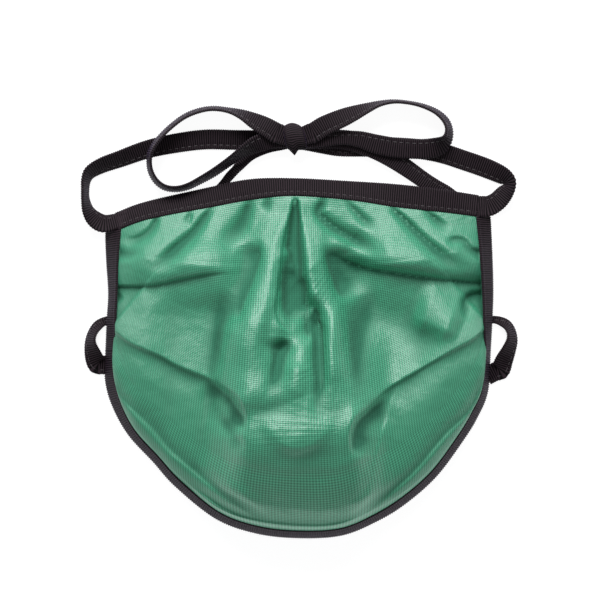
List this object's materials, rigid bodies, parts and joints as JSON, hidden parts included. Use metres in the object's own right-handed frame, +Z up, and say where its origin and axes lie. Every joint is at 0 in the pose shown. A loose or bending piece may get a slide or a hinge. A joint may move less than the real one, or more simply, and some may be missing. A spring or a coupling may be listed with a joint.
{
  "type": "tied face mask",
  "caption": "Gathered cloth face mask with a bound edge and tape ties, lying face up on its rim with the upper ties in a bow and a tape loop at each side.",
  "frame": {"origin": "on the surface that the mask lies on, under the middle of the pouch and its bindings", "axes": "+Z up out of the pouch, away from the face; +Y towards the top edge and the bow; +X to the right seen from above"},
  "size_m": [0.2188, 0.2202, 0.0462],
  "materials": {
    "green_cloth": "satin",
    "black_tape": "ribbed matte"
  },
  "bodies": {
    "root": {"mask_body": "green_cloth", "top_binding": "black_tape", "side_binding_left": "black_tape", "side_binding_right": "black_tape", "bottom_binding": "black_tape", "top_tie_left": "black_tape", "top_tie_right": "black_tape", "bow_knot": "black_tape", "bow_loop_left": "black_tape", "bow_loop_right": "black_tape", "tail_left": "black_tape", "tail_right": "black_tape", "lower_tie": "black_tape"}
  },
  "joints": []
}
